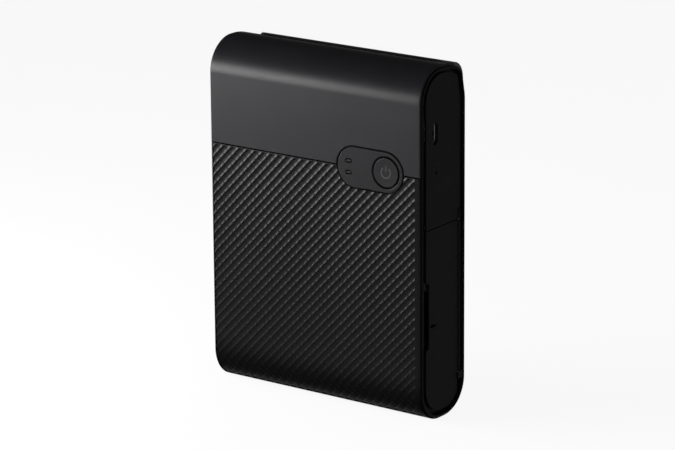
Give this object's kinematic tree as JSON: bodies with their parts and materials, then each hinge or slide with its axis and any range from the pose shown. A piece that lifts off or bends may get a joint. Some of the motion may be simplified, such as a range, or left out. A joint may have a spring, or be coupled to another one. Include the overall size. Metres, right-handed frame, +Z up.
{
  "type": "compact photo printer",
  "caption": "Upright pocket photo printer with a textured front, a top output slot, a side door for its ink cassette and a rear paper cover.",
  "frame": {"origin": "middle of the base, on the surface that the printer stands on", "axes": "+X to the right seen from the front, the front faces -Y, +Z up"},
  "size_m": [0.1022, 0.031, 0.1421],
  "materials": {
    "smooth_cover": "satin moulded black plastic, very fine spark texture",
    "knurled_panel": "satin black plastic moulded with diagonal beads",
    "end_frame": "satin black plastic",
    "side_panel": "matt black plastic",
    "island": "charcoal satin plastic",
    "light_window": "smoked clear plastic",
    "inner_plastic": "black glass-filled plastic",
    "cassette_plastic": "grey moulded plastic",
    "sheet_steel": "zinc-plated sheet steel",
    "bright_steel": "ground steel",
    "connector_shell": "nickel-plated steel shell",
    "circuit_board": "green solder mask",
    "component_black": "moulded epoxy",
    "led": "clear encapsulant",
    "battery_wrap": "shrink wrap over a lithium cell",
    "aluminium": "extruded aluminium",
    "ceramic": "glazed ceramic",
    "roller_rubber": "ground rubber",
    "acetal": "natural acetal",
    "motor_can": "plated steel can",
    "brass": "turned brass",
    "ink_film": "dyed polyester film",
    "photo_paper": "coated photo paper"
  },
  "bodies": {
    "body": {"upper_cover": "smooth_cover", "rear_cover": "smooth_cover", "front_panel": "knurled_panel", "side_frame_left": "end_frame", "side_frame_right": "end_frame", "side_panel_left": "side_panel", "side_panel_right": "side_panel", "control_island": "island", "led_windows": "light_window", "inner_frame": "inner_plastic", "pinch_holder": "inner_plastic", "paper_guide": "inner_plastic", "chassis_plate_left": "sheet_steel", "chassis_plate_right": "sheet_steel", "head_bracket": "sheet_steel", "paper_cover_pin": "bright_steel", "door_hinge_pin": "bright_steel", "head_springs": "bright_steel", "end_screws": "bright_steel", "board_screws": "bright_steel", "usb_connector": "connector_shell", "shield_can": "connector_shell", "main_board": "circuit_board", "board_chips": "component_black", "power_switch": "component_black", "reset_switch": "component_black", "status_leds": "led", "battery": "battery_wrap", "shaft_bushes": "acetal", "feed_motor": "motor_can", "ribbon_motor": "motor_can", "paper_stack": "photo_paper"},
    "pickup_roller": {"pickup_roller": "roller_rubber", "pickup_shaft": "bright_steel", "pickup_gear": "acetal"},
    "capstan": {"capstan_roller": "bright_steel", "capstan_gear": "acetal"},
    "pinch_roller": {"pinch_roller": "roller_rubber"},
    "platen": {"platen_roller": "roller_rubber", "platen_shaft": "bright_steel"},
    "feed_idler": {"feed_idler": "acetal"},
    "feed_pinion": {"feed_pinion": "brass"},
    "ink_cassette": {"cassette_frame": "cassette_plastic", "ribbon_film": "ink_film"},
    "supply_spool": {"supply_core": "acetal", "supply_ribbon": "ink_film"},
    "takeup_spool": {"takeup_core": "acetal", "takeup_ribbon": "ink_film"},
    "ribbon_drive_gear": {"ribbon_drive_gear": "acetal"},
    "ribbon_idler": {"ribbon_idler": "acetal"},
    "ribbon_pinion": {"ribbon_pinion": "brass"},
    "print_head": {"head_heatsink": "aluminium", "head_strip": "ceramic"},
    "power_button": {"power_button": "island"},
    "reset_button": {"reset_button": "inner_plastic"},
    "cassette_door": {"cassette_door": "side_panel"},
    "paper_cover": {"paper_cover": "smooth_cover", "pressure_springs": "bright_steel"},
    "pressure_plate": {"pressure_plate": "aluminium"}
  },
  "joints": [
    {"name": "cassette_door_hinge", "type": "hinge", "parent": "body", "child": "cassette_door", "pos_m": [0.05, 0.01155, 0.047], "axis": [0, 0, 1], "range_deg": [0, 105]},
    {"name": "cassette_slide", "type": "slide", "parent": "body", "child": "ink_cassette", "axis": [1, 0, 0], "range_m": [0, 0.0185]},
    {"name": "takeup_spool_spin", "type": "hinge", "parent": "ink_cassette", "child": "takeup_spool", "pos_m": [0, -0.0024, 0.06], "axis": [1, 0, 0], "continuous": true},
    {"name": "supply_spool_spin", "type": "hinge", "parent": "ink_cassette", "child": "supply_spool", "pos_m": [0, -0.0024, 0.0175], "axis": [1, 0, 0], "continuous": true},
    {"name": "ribbon_drive_spin", "type": "hinge", "parent": "body", "child": "ribbon_drive_gear", "pos_m": [0, -0.0024, 0.06], "axis": [1, 0, 0], "continuous": true},
    {"name": "ribbon_idler_spin", "type": "hinge", "parent": "body", "child": "ribbon_idler", "pos_m": [0, -0.00735, 0.0696], "axis": [1, 0, 0], "continuous": true},
    {"name": "ribbon_pinion_spin", "type": "hinge", "parent": "body", "child": "ribbon_pinion", "pos_m": [0, -0.0072, 0.078], "axis": [1, 0, 0], "continuous": true},
    {"name": "pickup_roller_spin", "type": "hinge", "parent": "body", "child": "pickup_roller", "pos_m": [0, 0.0043, 0.082], "axis": [1, 0, 0], "continuous": true},
    {"name": "capstan_spin", "type": "hinge", "parent": "body", "child": "capstan", "pos_m": [0, 0.0036, 0.07152], "axis": [1, 0, 0], "continuous": true},
    {"name": "pinch_roller_spin", "type": "hinge", "parent": "body", "child": "pinch_roller", "pos_m": [0, 0.00765, 0.07152], "axis": [1, 0, 0], "continuous": true},
    {"name": "platen_spin", "type": "hinge", "parent": "body", "child": "platen", "pos_m": [0, 0.0099, 0.0355], "axis": [1, 0, 0], "continuous": true},
    {"name": "feed_idler_spin", "type": "hinge", "parent": "body", "child": "feed_idler", "pos_m": [0, 0.00287, 0.09452], "axis": [1, 0, 0], "continuous": true},
    {"name": "feed_pinion_spin", "type": "hinge", "parent": "body", "child": "feed_pinion", "pos_m": [0, -0.0023, 0.104], "axis": [1, 0, 0], "continuous": true},
    {"name": "print_head_press", "type": "slide", "parent": "body", "child": "print_head", "axis": [0, 1, 0], "range_m": [0, 0.0023], "deforming": ["head_springs"]},
    {"name": "power_button_press", "type": "slide", "parent": "body", "child": "power_button", "axis": [0, 1, 0], "range_m": [0, 0.0006], "stiffness_N_per_m": 400, "springref_m": -0.0005},
    {"name": "reset_button_press", "type": "slide", "parent": "body", "child": "reset_button", "axis": [-1, 0, 0], "range_m": [0, 0.0003], "stiffness_N_per_m": 400, "springref_m": -0.0005},
    {"name": "paper_cover_hinge", "type": "hinge", "parent": "body", "child": "paper_cover", "pos_m": [0, 0.01435, 0.0464], "axis": [-1, 0, 0], "range_deg": [0, 95]},
    {"name": "pressure_plate_press", "type": "slide", "parent": "paper_cover", "child": "pressure_plate", "axis": [0, 1, 0], "range_m": [0, 0.0006], "stiffness_N_per_m": 800, "springref_m": -0.0005, "deforming": ["pressure_springs"]}
  ],
  "couplings": [
    {"joint": "cassette_door_hinge", "follows": "cassette_slide", "rad_per_m": 99.059},
    {"joint": "supply_spool_spin", "follows": "takeup_spool_spin", "ratio": 0.58064},
    {"joint": "ribbon_drive_spin", "follows": "takeup_spool_spin", "ratio": 1},
    {"joint": "ribbon_idler_spin", "follows": "takeup_spool_spin", "ratio": -1.25},
    {"joint": "ribbon_pinion_spin", "follows": "takeup_spool_spin", "ratio": 1.6667},
    {"joint": "capstan_spin", "follows": "pickup_roller_spin", "ratio": -1.0588},
    {"joint": "feed_idler_spin", "follows": "pickup_roller_spin", "ratio": -0.75},
    {"joint": "feed_pinion_spin", "follows": "pickup_roller_spin", "ratio": 1.5},
    {"joint": "pinch_roller_spin", "follows": "pickup_roller_spin", "ratio": 2.0362},
    {"joint": "platen_spin", "follows": "pickup_roller_spin", "ratio": 0.7563}
  ]
}
